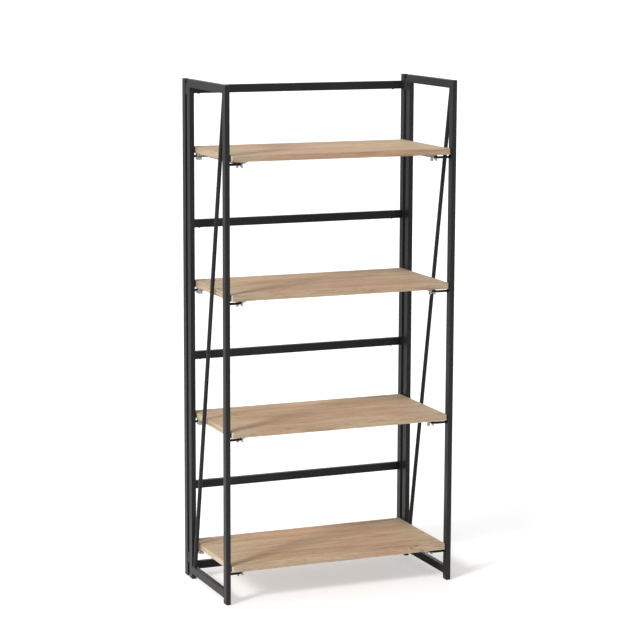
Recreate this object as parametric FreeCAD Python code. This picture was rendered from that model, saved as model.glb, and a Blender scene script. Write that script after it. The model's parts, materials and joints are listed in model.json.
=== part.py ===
import FreeCAD, Part
import math
import os

# Folding bookcase: a rear frame, two side frames hinged to it, and four boards
# that are clipped to wire supports on the side frames.
# Millimetres. The origin is on the floor under the middle of the open bookcase,
# +X points to the right of someone who faces it, +Y to its back, +Z up.

Vec = FreeCAD.Vector
UP = Vec(0, 0, 1)
ACROSS = Vec(1, 0, 0)
ALONG = Vec(0, 1, 0)

# Overall size, open
WIDTH = 600.0
DEPTH = 300.0
HEIGHT = 1250.0

# Rectangular steel tube of every post, rail and crossbar
TUBE_LONG = 20.0
TUBE_SHORT = 12.0
TUBE_WALL = 1.2
TUBE_CORNER = 1.2

# Frames
HINGE_GAP = 14.0            # between a side frame's back post and the rear frame
RAIL_BOTTOM = 14.0          # underside of the lowest rails and of the lowest crossbar
CROSSBAR_BOTTOMS = [RAIL_BOTTOM, 223.0, 553.0, 883.0, 1213.0]
BRACE_DIAMETER = 10.0
BRACE_WALL = 1.0
BRACE_SETBACK = 1.0         # of the brace's axis from the post at the upper rail
BRACE_FOOT_SETBACK = 7.0    # and from the back post at the lower rail

# Foot plugs and end caps
FOOT_HEIGHT = 6.0
FOOT_EDGE = 1.5
CAP_HEIGHT = 3.0
CAP_EDGE = 1.0
PLUG_CORNER = 1.0           # cut off the head's upright corners
PLUG_STEM = 16.0
PLUG_CORE_GAP = 1.1         # between the stem's core and the tube's inner wall
PLUG_FIN = 1.2
PLUG_FINS = 2

# Weld-on barrel hinges between the rear frame and the side frames
HINGE_BOTTOMS = [38.0, 1213.0]
BARREL_DIAMETER = 12.0
BARREL_HEIGHT = 13.0        # of each half
BARREL_FOOT = 7.0           # width of the foot that is welded to the post
HINGE_PIN_DIAMETER = 5.0
HINGE_PIN_BORE = 5.2
HINGE_PIN_DEPTH = 10.0      # of the pin in each half
HINGE_BORE_DEPTH = 10.5     # in the half that turns
HINGE_AXIS_INSET = 6.0      # of the axis from the bookcase's side

# Bumpers under the upper crossbars
BUMPERED_CROSSBARS = 3
BUMPER_DIAMETER = 6.0
BUMPER_HEIGHT = 1.5
BUMPER_EDGE = 0.8
BUMPER_FLATS = 8
BUMPER_INSET = 27.0         # from the post's inner side

# Boards
SHELF_COUNT = 4
SHELF_PITCH = 330.0
LOWEST_SHELF = 80.0         # underside of the lowest board
BOARD_WIDTH = 570.0
BOARD_DEPTH = 280.0
BOARD_THICKNESS = 15.0
BOARD_CORNER = 5.0
EDGE_BAND = 0.8
EDGE_BAND_ARRIS = 0.5

# Wire supports, one under each end of a board
WIRE_DIAMETER = 6.0
WIRE_FLATS = 12             # of the section that stands for the round wire
WIRE_DROP = 7.0             # of the wire's axis below the board
WIRE_REACH = 34.6           # of the long run from the post's inner side
WIRE_SETBACK = 15.0         # of the cross runs from the side frame's front and back
WIRE_BEND = 8.0
WIRE_BEND_STEPS = 3         # straight lengths that stand for each bend
MITRED_CORNERS = 1          # how a pipe shell turns from one length to the next

# Snap clips under the boards. Section around the wire's axis: u sideways, w up.
CLIP_LENGTH = 12.0          # along the wire
CLIP_SEAT = 3.3             # from the wire's axis to the seat's flats
CLIP_SEAT_FLATS = 5
CLIP_LEG_OUTER = 5.9
CLIP_THROAT_TOP = -2.6
CLIP_THROAT_BOTTOM = -3.8
CLIP_LIP_INNER = 5.2
CLIP_LIP_OUTER = 7.4
CLIP_LIP_BOTTOM = -9.5
CLIP_FLANGE_UNDERSIDE = 4.2
CLIP_FLANGE_REACH = 22.0
CLIP_FLANGE_CUT = 3.5       # of the flange's outer corners
CLIP_SHOULDER_BOTTOM = 2.6
CLIP_GUSSET_BOTTOM = -2.2
CLIP_GUSSET_REACH = 19.0
CLIP_GUSSET = 1.4           # thickness of the two gussets along the flange
FRONT_CLIP_SETBACK = 30.0   # of the clip's middle from the board's front edge
REAR_CLIP_REACH = 13.0      # of the clip's middle from the post's inner side

# Places worked out from the sizes above
FRONT = -DEPTH / 2
BACK = DEPTH / 2
REAR_FRAME_FRONT = BACK - TUBE_LONG
SIDE_FRAME_BACK = REAR_FRAME_FRONT - HINGE_GAP
BACK_POST_FRONT = SIDE_FRAME_BACK - TUBE_LONG
POST_INNER_X = WIDTH / 2 - TUBE_SHORT
SIDE_FRAME_X = WIDTH / 2 - TUBE_SHORT / 2
REAR_FRAME_Y = REAR_FRAME_FRONT + TUBE_LONG / 2
FRONT_POST_Y = FRONT + TUBE_LONG / 2
BACK_POST_Y = SIDE_FRAME_BACK - TUBE_LONG / 2
FRONT_WIRE_Y = FRONT + WIRE_SETBACK
REAR_WIRE_Y = SIDE_FRAME_BACK - WIRE_SETBACK
HINGE_AXIS_X = WIDTH / 2 - HINGE_AXIS_INSET
HINGE_AXIS_Y = SIDE_FRAME_BACK + HINGE_GAP / 2
SIDES = {"left": -1, "right": 1}


def shelf_underside(shelf):
    """Height of a board's underside; shelf 1 is the lowest."""
    return LOWEST_SHELF + (shelf - 1) * SHELF_PITCH


def rounded_rectangle(width, depth, radius):
    """Face in the XY plane, centred on the origin."""
    x = width / 2
    y = depth / 2
    chord = radius * (1 - math.sqrt(0.5))
    edges = [
        Part.LineSegment(Vec(radius - x, -y, 0), Vec(x - radius, -y, 0)),
        Part.Arc(Vec(x - radius, -y, 0), Vec(x - chord, chord - y, 0), Vec(x, radius - y, 0)),
        Part.LineSegment(Vec(x, radius - y, 0), Vec(x, y - radius, 0)),
        Part.Arc(Vec(x, y - radius, 0), Vec(x - chord, y - chord, 0), Vec(x - radius, y, 0)),
        Part.LineSegment(Vec(x - radius, y, 0), Vec(radius - x, y, 0)),
        Part.Arc(Vec(radius - x, y, 0), Vec(chord - x, y - chord, 0), Vec(-x, y - radius, 0)),
        Part.LineSegment(Vec(-x, y - radius, 0), Vec(-x, radius - y, 0)),
        Part.Arc(Vec(-x, radius - y, 0), Vec(chord - x, chord - y, 0), Vec(radius - x, -y, 0)),
    ]
    return Part.Face(Part.Wire([edge.toShape() for edge in edges]))


def moved(shape, x, y, z):
    """Copy of a shape, shifted."""
    copy = shape.copy()
    copy.translate(Vec(x, y, z))
    return copy


def cylinder(diameter, height, x, y, z):
    """Upright cylinder that starts at height z."""
    return Part.makeCylinder(diameter / 2, height, Vec(x, y, z), UP)


def upright_bar(length):
    """Solid bar with the tube's outside, used to cope what is welded to it."""
    return rounded_rectangle(TUBE_SHORT, TUBE_LONG, TUBE_CORNER).extrude(UP * length)


def bore_filler(inset, length):
    """Square-cornered bar, smaller than the tube's outside by inset all round."""
    width = TUBE_SHORT - 2 * inset
    depth = TUBE_LONG - 2 * inset
    return Part.makeBox(width, depth, length, Vec(-width / 2, -depth / 2, 0))


def upright_tube(length):
    """Open-ended tube along +Z, its long side in Y."""
    return upright_bar(length).cut(bore_filler(TUBE_WALL, length))


def laid_along_y(shape):
    """Turns an upright tube to run along +Y, its long side upright."""
    copy = shape.copy()
    copy.rotate(Vec(0, 0, 0), ACROSS, -90)
    return copy


def laid_along_x(shape):
    """Turns an upright tube to run along +X, its long side upright."""
    copy = shape.copy()
    copy.rotate(Vec(0, 0, 0), Vec(1, 1, 1), 120)
    return copy


def flat_sided_ring(centre, first, second, radius, flats):
    """Closed polygon round a centre, in the plane of two directions."""
    step = 2 * math.pi / flats
    corners = []
    for count in range(flats):
        angle = (count + 0.5) * step
        spoke = first * math.cos(angle) + second * math.sin(angle)
        corners.append(centre + spoke * radius)
    return Part.makePolygon(corners + corners[:1])


def prism_across(points, width):
    """Prism along X from (y, z) points, centred on x = 0."""
    corners = [Vec(-width / 2, y, z) for y, z in points]
    return Part.Face(Part.makePolygon(corners + corners[:1])).extrude(ACROSS * width)


# ---------------------------------------------------------------- rear frame

def rear_post(side):
    """Tube between its foot plug and its cap."""
    length = HEIGHT - FOOT_HEIGHT - CAP_HEIGHT
    return moved(upright_tube(length), side * SIDE_FRAME_X, REAR_FRAME_Y, FOOT_HEIGHT)


def crossbar(bottom):
    """Tube between the rear posts."""
    bar = laid_along_x(upright_tube(2 * POST_INNER_X))
    return moved(bar, -POST_INNER_X, REAR_FRAME_Y, bottom + TUBE_LONG / 2)


def bumper(x, bottom):
    """Small bumper with a chamfered tip, on the underside of a crossbar."""
    seat = Vec(x, REAR_FRAME_Y, bottom)
    outline = flat_sided_ring(seat, ACROSS, ALONG, BUMPER_DIAMETER / 2, BUMPER_FLATS)
    block = Part.Face(outline).extrude(-UP * BUMPER_HEIGHT)
    tip = [line for line in block.Edges if line.BoundBox.ZMax < bottom - BUMPER_HEIGHT / 2]
    return block.makeChamfer(BUMPER_EDGE, tip)


def bumpers():
    """One bumper near each end of the upper crossbars."""
    reach = POST_INNER_X - BUMPER_INSET
    bottoms = CROSSBAR_BOTTOMS[-BUMPERED_CROSSBARS:]
    return [bumper(x, bottom) for bottom in bottoms for x in (-reach, reach)]


# ---------------------------------------------------------------- plugs

def plug_stem(x, y, top):
    """Finned stem that hangs down from height top, inside a tube."""
    stem = bore_filler(TUBE_WALL + PLUG_CORE_GAP, PLUG_STEM)
    pitch = PLUG_STEM / (PLUG_FINS + 1)
    for count in range(1, PLUG_FINS + 1):
        fin = bore_filler(TUBE_WALL, PLUG_FIN)
        stem = stem.fuse(moved(fin, 0, 0, count * pitch - PLUG_FIN / 2))
    return moved(stem, x, y, top - PLUG_STEM)


def plug_head(height, edge, rim_height):
    """Block as wide as the tube, chamfered on its upright edges and on one rim."""
    head = Part.makeBox(TUBE_SHORT, TUBE_LONG, height, Vec(-TUBE_SHORT / 2, -TUBE_LONG / 2, 0))
    upright = [line for line in head.Edges if line.BoundBox.ZLength > height / 2]
    head = head.makeChamfer(PLUG_CORNER, upright)
    rim = [line for line in head.Edges
           if line.BoundBox.ZLength < edge and abs(line.BoundBox.ZMin - rim_height) < edge]
    return head.makeChamfer(edge, rim)


def end_cap(x, y, top):
    """Cap that closes a tube's upper end."""
    cap = moved(plug_head(CAP_HEIGHT, CAP_EDGE, CAP_HEIGHT), x, y, top - CAP_HEIGHT)
    return cap.fuse(plug_stem(x, y, top - CAP_HEIGHT)).removeSplitter()


def foot_plug(x, y):
    """Foot that closes a tube's lower end and stands on the floor."""
    foot = moved(plug_head(FOOT_HEIGHT, FOOT_EDGE, 0), x, y, 0)
    return foot.fuse(plug_stem(x, y, FOOT_HEIGHT + PLUG_STEM)).removeSplitter()


# ---------------------------------------------------------------- side frames

def front_mitre(keep_post):
    """Corner that a mitred post or rail loses where the two meet at the top front."""
    over = TUBE_CORNER
    low = (FRONT + TUBE_LONG + over, HEIGHT - TUBE_LONG - over)
    high = (FRONT - over, HEIGHT + over)
    if keep_post:
        outside = (FRONT + TUBE_LONG + over, HEIGHT + over)
    else:
        outside = (FRONT - over, HEIGHT - TUBE_LONG - over)
    return prism_across([low, high, outside], WIDTH)


def flipped_to_back(shape):
    """Mirror image of a front corner at a side frame's back."""
    middle = (FRONT + SIDE_FRAME_BACK) / 2
    return shape.mirror(Vec(0, middle, 0), Vec(0, 1, 0))


def side_post(side, at_back):
    """Front or back post, mitred to the top rail."""
    post = upright_tube(HEIGHT - FOOT_HEIGHT)
    post = moved(post, side * SIDE_FRAME_X, FRONT_POST_Y, FOOT_HEIGHT)
    post = post.cut(front_mitre(True))
    return flipped_to_back(post) if at_back else post


def top_rail(side):
    """Rail over both posts of a side frame, mitred at both ends."""
    rail = laid_along_y(upright_tube(SIDE_FRAME_BACK - FRONT))
    rail = moved(rail, side * SIDE_FRAME_X, FRONT, HEIGHT - TUBE_LONG / 2)
    corner = front_mitre(False)
    return rail.cut(corner).cut(flipped_to_back(corner))


def bottom_rail(side):
    """Rail between the two posts of a side frame."""
    rail = laid_along_y(upright_tube(BACK_POST_FRONT - FRONT - TUBE_LONG))
    return moved(rail, side * SIDE_FRAME_X, FRONT + TUBE_LONG, RAIL_BOTTOM + TUBE_LONG / 2)


def brace(side):
    """Slanting round tube, coped to the posts and rails that it is welded to."""
    upper = Vec(side * SIDE_FRAME_X, FRONT + TUBE_LONG + BRACE_SETBACK, HEIGHT - TUBE_LONG)
    lower = Vec(side * SIDE_FRAME_X, BACK_POST_FRONT - BRACE_FOOT_SETBACK,
                RAIL_BOTTOM + TUBE_LONG)
    slant = (upper - lower).normalize()
    start = lower - slant * TUBE_LONG
    length = (upper - lower).Length + 2 * TUBE_LONG
    rod = Part.makeCylinder(BRACE_DIAMETER / 2, length, start, slant)
    rod = rod.cut(Part.makeCylinder(BRACE_DIAMETER / 2 - BRACE_WALL, length, start, slant))
    between_rails = Part.makeBox(
        WIDTH, DEPTH, HEIGHT - 2 * TUBE_LONG - RAIL_BOTTOM,
        Vec(-WIDTH / 2, FRONT, RAIL_BOTTOM + TUBE_LONG))
    rod = rod.common(between_rails)
    front_bar = moved(upright_bar(HEIGHT), side * SIDE_FRAME_X, FRONT_POST_Y, 0)
    return rod.cut(front_bar).cut(flipped_to_back(front_bar))


# ---------------------------------------------------------------- hinges

def barrel(side, bottom, toward_back):
    """Half of a barrel hinge, with a foot to its post and no bore yet."""
    x = side * HINGE_AXIS_X
    round_part = cylinder(BARREL_DIAMETER, BARREL_HEIGHT, x, HINGE_AXIS_Y, bottom)
    foot_start = HINGE_AXIS_Y if toward_back else SIDE_FRAME_BACK
    foot = Part.makeBox(BARREL_FOOT, HINGE_GAP / 2, BARREL_HEIGHT,
                        Vec(x - BARREL_FOOT / 2, foot_start, bottom))
    return round_part.fuse(foot).removeSplitter()


def rear_barrel(side, bottom):
    """Lower half, on the rear frame. It holds the pin."""
    return barrel(side, bottom, True).cut(hinge_pin(side, bottom))


def frame_barrel(side, bottom):
    """Upper half, on the side frame. It turns on the pin."""
    middle = bottom + BARREL_HEIGHT
    bore = cylinder(HINGE_PIN_BORE, HINGE_BORE_DEPTH, side * HINGE_AXIS_X, HINGE_AXIS_Y, middle)
    return barrel(side, middle, False).cut(bore)


def hinge_pin(side, bottom):
    """Pin that stands in the lower half and reaches into the upper one."""
    start = bottom + BARREL_HEIGHT - HINGE_PIN_DEPTH
    return cylinder(HINGE_PIN_DIAMETER, 2 * HINGE_PIN_DEPTH, side * HINGE_AXIS_X,
                    HINGE_AXIS_Y, start)


# ---------------------------------------------------------------- wire supports

def wire_path(side, z):
    """Centre line between the two posts, with each bend as a few straight lengths."""
    post = side * POST_INNER_X
    bend_x = side * (POST_INNER_X - WIRE_REACH + WIRE_BEND)
    turns = [math.pi / 2 * count / WIRE_BEND_STEPS for count in range(WIRE_BEND_STEPS + 1)]
    points = [Vec(post, FRONT_WIRE_Y, z)]
    for turn in turns:
        points.append(Vec(bend_x - side * WIRE_BEND * math.sin(turn),
                          FRONT_WIRE_Y + WIRE_BEND * (1 - math.cos(turn)), z))
    for turn in turns:
        points.append(Vec(bend_x - side * WIRE_BEND * math.cos(turn),
                          REAR_WIRE_Y - WIRE_BEND * (1 - math.sin(turn)), z))
    points.append(Vec(post, REAR_WIRE_Y, z))
    return Part.makePolygon(points)


def wire_support(side, shelf):
    """U of wire between the two posts of a side frame, under a board's end."""
    z = shelf_underside(shelf) - WIRE_DROP
    start = Vec(side * POST_INNER_X, FRONT_WIRE_Y, z)
    section = flat_sided_ring(start, ALONG, UP, WIRE_DIAMETER / 2, WIRE_FLATS)
    return wire_path(side, z).makePipeShell([section], True, False, MITRED_CORNERS)


# ---------------------------------------------------------------- boards

def board_outline(inset, z):
    """Solid of the board's plan, stepped in by inset."""
    face = rounded_rectangle(BOARD_WIDTH - 2 * inset, BOARD_DEPTH - 2 * inset,
                             BOARD_CORNER - inset)
    return moved(face.extrude(UP * BOARD_THICKNESS), 0, FRONT + BOARD_DEPTH / 2, z)


def board(shelf):
    """Board without its edge band."""
    return board_outline(EDGE_BAND, shelf_underside(shelf))


def edge_band(shelf):
    """Strip glued all round the board, with its outer arrises eased."""
    underside = shelf_underside(shelf)
    outer = board_outline(0, underside)
    level = [edge for edge in outer.Edges if edge.BoundBox.ZLength < EDGE_BAND_ARRIS]
    return outer.makeChamfer(EDGE_BAND_ARRIS, level).cut(board_outline(EDGE_BAND, underside))


# ---------------------------------------------------------------- clips

def clip_seat():
    """Corners of the seat over the wire, from its left side to its right."""
    step = math.pi / CLIP_SEAT_FLATS
    reach = CLIP_SEAT / math.cos(step / 2)
    angles = [math.pi - (count + 0.5) * step for count in range(CLIP_SEAT_FLATS)]
    return [(reach * math.cos(angle), reach * math.sin(angle)) for angle in angles]


def clip_section():
    """Half-round seat, straight throat, flared lips and a flange."""
    outline = [
        (CLIP_SEAT, CLIP_THROAT_BOTTOM),
        (CLIP_LIP_INNER, CLIP_LIP_BOTTOM),
        (CLIP_LIP_OUTER, CLIP_LIP_BOTTOM),
        (CLIP_LEG_OUTER, CLIP_THROAT_TOP),
        (CLIP_LEG_OUTER, CLIP_SHOULDER_BOTTOM),
        (CLIP_LEG_OUTER + WIRE_DROP - CLIP_FLANGE_UNDERSIDE, CLIP_FLANGE_UNDERSIDE),
        (CLIP_FLANGE_REACH, CLIP_FLANGE_UNDERSIDE),
        (CLIP_FLANGE_REACH, WIRE_DROP),
        (-CLIP_LEG_OUTER, WIRE_DROP),
        (-CLIP_LEG_OUTER, CLIP_THROAT_TOP),
        (-CLIP_LIP_OUTER, CLIP_LIP_BOTTOM),
        (-CLIP_LIP_INNER, CLIP_LIP_BOTTOM),
        (-CLIP_SEAT, CLIP_THROAT_BOTTOM),
    ]
    corners = [Vec(u, w, 0) for u, w in outline + clip_seat()]
    return Part.Face(Part.makePolygon(corners + corners[:1]))


def clip_gussets():
    """Two thin gussets that brace the flange from the clip's leg."""
    corners = [
        Vec(CLIP_SEAT, CLIP_FLANGE_UNDERSIDE, 0),
        Vec(CLIP_SEAT, CLIP_GUSSET_BOTTOM, 0),
        Vec(CLIP_LEG_OUTER, CLIP_GUSSET_BOTTOM, 0),
        Vec(CLIP_GUSSET_REACH, CLIP_FLANGE_UNDERSIDE, 0),
    ]
    gusset = Part.Face(Part.makePolygon(corners + corners[:1])).extrude(UP * CLIP_GUSSET)
    return [gusset, moved(gusset, 0, 0, CLIP_LENGTH - CLIP_GUSSET)]


def clip_plan():
    """Prism with the clip's plan, the flange's outer corners cut off."""
    half = CLIP_LENGTH / 2
    straight_end = CLIP_FLANGE_REACH - CLIP_FLANGE_CUT
    corners = [
        Vec(-CLIP_LIP_OUTER, -half, -2 * WIRE_DROP),
        Vec(straight_end, -half, -2 * WIRE_DROP),
        Vec(CLIP_FLANGE_REACH, CLIP_FLANGE_CUT - half, -2 * WIRE_DROP),
        Vec(CLIP_FLANGE_REACH, half - CLIP_FLANGE_CUT, -2 * WIRE_DROP),
        Vec(straight_end, half, -2 * WIRE_DROP),
        Vec(-CLIP_LIP_OUTER, half, -2 * WIRE_DROP),
    ]
    return Part.Face(Part.makePolygon(corners + corners[:1])).extrude(UP * 4 * WIRE_DROP)


def clip_at_origin():
    """Clip on a wire that runs along Y through the origin, flange toward +X."""
    clip = clip_section().extrude(UP * CLIP_LENGTH).fuse(clip_gussets())
    clip = moved(clip, 0, 0, -CLIP_LENGTH / 2)
    clip.rotate(Vec(0, 0, 0), ACROSS, 90)
    return clip.common(clip_plan()).removeSplitter()


def front_clip_place(side):
    """Centre and heading of the clip that grips the long run near the front."""
    heading = 0 if side < 0 else 180
    return side * (POST_INNER_X - WIRE_REACH), FRONT + FRONT_CLIP_SETBACK, heading


def rear_clip_place(side):
    """Centre and heading of the clip that turns on the rear cross run."""
    return side * (POST_INNER_X - REAR_CLIP_REACH), REAR_WIRE_Y, -90


def placed_clip(place, shelf):
    x, y, heading = place
    clip = clip_at_origin()
    clip.rotate(Vec(0, 0, 0), UP, heading)
    return moved(clip, x, y, shelf_underside(shelf) - WIRE_DROP)


# ---------------------------------------------------------------- assembly

def save(name, solids):
    """Writes one sub-part, a single solid or a group of separate ones."""
    shape = solids[0] if len(solids) == 1 else Part.makeCompound(solids)
    shape.exportStep("parts/" + name + ".step")


def save_rear_frame():
    for name, side in SIDES.items():
        save("rear_post_" + name, [rear_post(side)])
    for number, bottom in enumerate(CROSSBAR_BOTTOMS, start=1):
        save("crossbar_%d" % number, [crossbar(bottom)])
    save("crossbar_bumpers", bumpers())
    post_places = [side * SIDE_FRAME_X for side in SIDES.values()]
    save("rear_post_caps", [end_cap(x, REAR_FRAME_Y, HEIGHT) for x in post_places])
    save("rear_feet", [foot_plug(x, REAR_FRAME_Y) for x in post_places])


def save_side_frame(name, side):
    save(name + "_front_post", [side_post(side, False)])
    save(name + "_back_post", [side_post(side, True)])
    save(name + "_top_rail", [top_rail(side)])
    save(name + "_bottom_rail", [bottom_rail(side)])
    save(name + "_brace", [brace(side)])
    feet = [foot_plug(side * SIDE_FRAME_X, y) for y in (FRONT_POST_Y, BACK_POST_Y)]
    save(name + "_feet", feet)
    save(name + "_hinge_rear_barrels", [rear_barrel(side, z) for z in HINGE_BOTTOMS])
    save(name + "_hinge_frame_barrels", [frame_barrel(side, z) for z in HINGE_BOTTOMS])
    save(name + "_hinge_pins", [hinge_pin(side, z) for z in HINGE_BOTTOMS])
    for shelf in range(1, SHELF_COUNT + 1):
        save("%s_wire_support_%d" % (name, shelf), [wire_support(side, shelf)])


def save_shelf(shelf):
    label = "shelf_%d_" % shelf
    save(label + "board", [board(shelf)])
    save(label + "edge_band", [edge_band(shelf)])
    save(label + "front_clips", [placed_clip(front_clip_place(side), shelf)
                                 for side in SIDES.values()])
    save(label + "rear_clips", [placed_clip(rear_clip_place(side), shelf)
                                for side in SIDES.values()])


os.makedirs("parts", exist_ok=True)
save_rear_frame()
for side_name, side_sign in SIDES.items():
    save_side_frame(side_name, side_sign)
for shelf_number in range(1, SHELF_COUNT + 1):
    save_shelf(shelf_number)
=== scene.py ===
from collections import namedtuple
import json
import math

import bmesh
import bpy
from mathutils import Matrix, Vector


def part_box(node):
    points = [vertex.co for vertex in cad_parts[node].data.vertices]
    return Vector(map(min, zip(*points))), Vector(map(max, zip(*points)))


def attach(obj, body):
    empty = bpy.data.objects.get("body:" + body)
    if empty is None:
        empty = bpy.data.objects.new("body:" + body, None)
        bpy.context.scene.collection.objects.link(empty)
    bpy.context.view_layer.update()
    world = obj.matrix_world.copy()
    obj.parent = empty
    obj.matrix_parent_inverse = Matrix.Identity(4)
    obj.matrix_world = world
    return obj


# Folding bookcase: powder-coated steel tube, wire supports, oak-print boards with
# edge bands, clear snap clips with their screws, and the weld beads of the frame.
# Metres. The origin is on the floor under the middle of the bookcase, +Z up.

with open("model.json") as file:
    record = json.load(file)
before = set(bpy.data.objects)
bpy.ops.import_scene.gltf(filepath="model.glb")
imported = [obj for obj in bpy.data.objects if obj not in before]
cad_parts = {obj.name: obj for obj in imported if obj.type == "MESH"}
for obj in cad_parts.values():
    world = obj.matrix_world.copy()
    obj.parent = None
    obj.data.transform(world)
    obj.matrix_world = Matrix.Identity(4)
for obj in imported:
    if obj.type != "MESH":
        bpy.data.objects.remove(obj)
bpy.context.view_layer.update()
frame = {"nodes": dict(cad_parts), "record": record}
nodes = frame["nodes"]

SIDES = {"left": -1, "right": 1}
SHELVES = (1, 2, 3, 4)
CROSSBARS = (1, 2, 3, 4, 5)
MM = 0.001
SIDEWAYS = Vector((1, 0, 0))
BACKWARD = Vector((0, 1, 0))
UPRIGHT = Vector((0, 0, 1))


# ---------------------------------------------------------------- shader helpers

NOISE_LOW = 0.3                # nearly all values of a noise lie from low to high
NOISE_MIDDLE = 0.5
NOISE_HIGH = 0.7

# How a height shows in the surface's normal
Relief = namedtuple("Relief", "strength depth")


def place(tree, kind, sockets=None, **settings):
    """Adds a shader node. Each named socket takes a value or another node's output."""
    node = tree.nodes.new("ShaderNode" + kind)
    for name, value in settings.items():
        setattr(node, name, value)
    for name, value in (sockets or {}).items():
        if isinstance(value, bpy.types.NodeSocket):
            tree.links.new(value, node.inputs[name])
        else:
            node.inputs[name].default_value = value
    return node


def use_group(tree, group, sockets):
    """Adds a shared effect with this material's values."""
    return place(tree, "Group", sockets, node_tree=group)


def maths(tree, operation, first, second=0.0, clamp=False):
    """One sum on one or two values."""
    return place(tree, "Math", {0: first, 1: second}, operation=operation,
                 use_clamp=clamp).outputs[0]


def remap(tree, value, low, high, to_low=0.0, to_high=1.0):
    """Straight map from one range to another, held at both ends."""
    span = {"Value": value, "From Min": low, "From Max": high,
            "To Min": to_low, "To Max": to_high}
    return place(tree, "MapRange", span).outputs["Result"]


def spread(tree, noise, to_low, to_high):
    """Maps the values that a noise really has to a new range."""
    return remap(tree, noise, NOISE_LOW, NOISE_HIGH, to_low, to_high)


def blend_colours(tree, factor, first, second):
    return place(tree, "Mix", {0: factor, 6: first, 7: second},
                 data_type="RGBA").outputs[2]


def grey(tree, value):
    return place(tree, "CombineColor", {0: value, 1: value, 2: value}).outputs[0]


def stretched(tree, vector, x, y, z):
    """Scales a place before it reaches a texture, so that the texture draws out."""
    return place(tree, "VectorMath", {0: vector, 1: (x, y, z)},
                 operation="MULTIPLY").outputs[0]


def clouds(tree, vector, scale=1.0, detail=2.0, roughness=0.5):
    return place(tree, "TexNoise", {"Vector": vector, "Scale": scale, "Detail": detail,
                                    "Roughness": roughness}).outputs["Fac"]


def raised(tree, relief, height):
    """Normal of a surface that a height map raises."""
    return place(tree, "Bump", {"Strength": relief.strength, "Distance": relief.depth,
                                "Height": height}).outputs["Normal"]


def new_group(name, inputs, outputs):
    """Node group with named sockets. Returns its tree, its input and its output node."""
    tree = bpy.data.node_groups.new(name, "ShaderNodeTree")
    for label, kind, value in inputs:
        socket = tree.interface.new_socket(label, in_out="INPUT",
                                           socket_type="NodeSocket" + kind)
        if value is not None:
            socket.default_value = value
    for label, kind in outputs:
        tree.interface.new_socket(label, in_out="OUTPUT", socket_type="NodeSocket" + kind)
    return tree, tree.nodes.new("NodeGroupInput"), tree.nodes.new("NodeGroupOutput")


def put_out(tree, group_output, **results):
    for label, socket in results.items():
        tree.links.new(socket, group_output.inputs[label])


def new_finish(name, **constants):
    """Material with a Principled shader whose constants are set on its own sockets."""
    material = bpy.data.materials.new(name)
    material.use_nodes = True
    tree = material.node_tree
    shader = tree.nodes["Principled BSDF"]
    for label, value in constants.items():
        shader.inputs[label.replace("_", " ")].default_value = value
    return material, tree, shader


def join_shader(tree, shader, tint, roughness, normal):
    """Joins what changes over a surface to its shader."""
    tree.links.new(tint, shader.inputs["Base Color"])
    tree.links.new(roughness, shader.inputs["Roughness"])
    tree.links.new(normal, shader.inputs["Normal"])


def piece_place(tree):
    """The place on the piece itself, which moves with it."""
    return tree.nodes.new("ShaderNodeTexCoord").outputs["Object"]


def colour(red, green, blue):
    return (red, green, blue, 1.0)


# ---------------------------------------------------------------- rubbed edges

RUB_REACH = 0.6 * MM
RUB_STARTS = 0.985             # cosine of the angle from the true to the rounded normal
RUB_FULL = 0.82
RUB_BREAKS = 90.0              # per metre
RUB_BREAK_START = 0.42         # noise, where an edge that is whole starts to wear
RUB_BREAK_FULL = 0.68
RUB_SAMPLES = 4


def build_rubbed_edges():
    """Mask of the outer edges that hands and boards rub, broken up along their length."""
    tree, given, out = new_group(
        "rubbed edges",
        [("Place", "Vector", None), ("Reach", "Float", RUB_REACH),
         ("Breaks", "Float", RUB_BREAKS)],
        [("Mask", "Float")])
    soft = place(tree, "Bevel", {"Radius": given.outputs["Reach"]},
                 samples=RUB_SAMPLES).outputs[0]
    true = tree.nodes.new("ShaderNodeNewGeometry").outputs["Normal"]
    facing = place(tree, "VectorMath", {0: soft, 1: true},
                   operation="DOT_PRODUCT").outputs["Value"]
    edge = remap(tree, facing, RUB_STARTS, RUB_FULL)
    noise = clouds(tree, given.outputs["Place"], given.outputs["Breaks"], detail=3.0)
    breaks = remap(tree, noise, RUB_BREAK_START, RUB_BREAK_FULL)
    put_out(tree, out, Mask=maths(tree, "MULTIPLY", edge, breaks))
    return tree


# ---------------------------------------------------------------- powder coat

COAT_CLOUDS = 7.0              # per metre, as the next two are
COAT_PEEL = 420.0
COAT_GRIT = 1500.0
CLOUD_SHARE = 0.35             # of the thin coat's colour in the palest clouds
SPECK_SHARE = 0.22             # in a speck of grit
WEAR_SHARE = 0.8               # on a rubbed edge
SPECK_RIM = 0.34               # share of a cell from the speck's middle
SPECK_CORE = 0.12
CLOUD_SHINE = -0.05            # change of roughness in the darkest clouds
CLOUD_DULLING = 0.06           # and in the palest
WEAR_DULLING = 0.12
SPECK_HEIGHT = 0.35            # as a share of the orange peel's
PEEL_RELIEF = Relief(0.55, 0.05 * MM)


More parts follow.
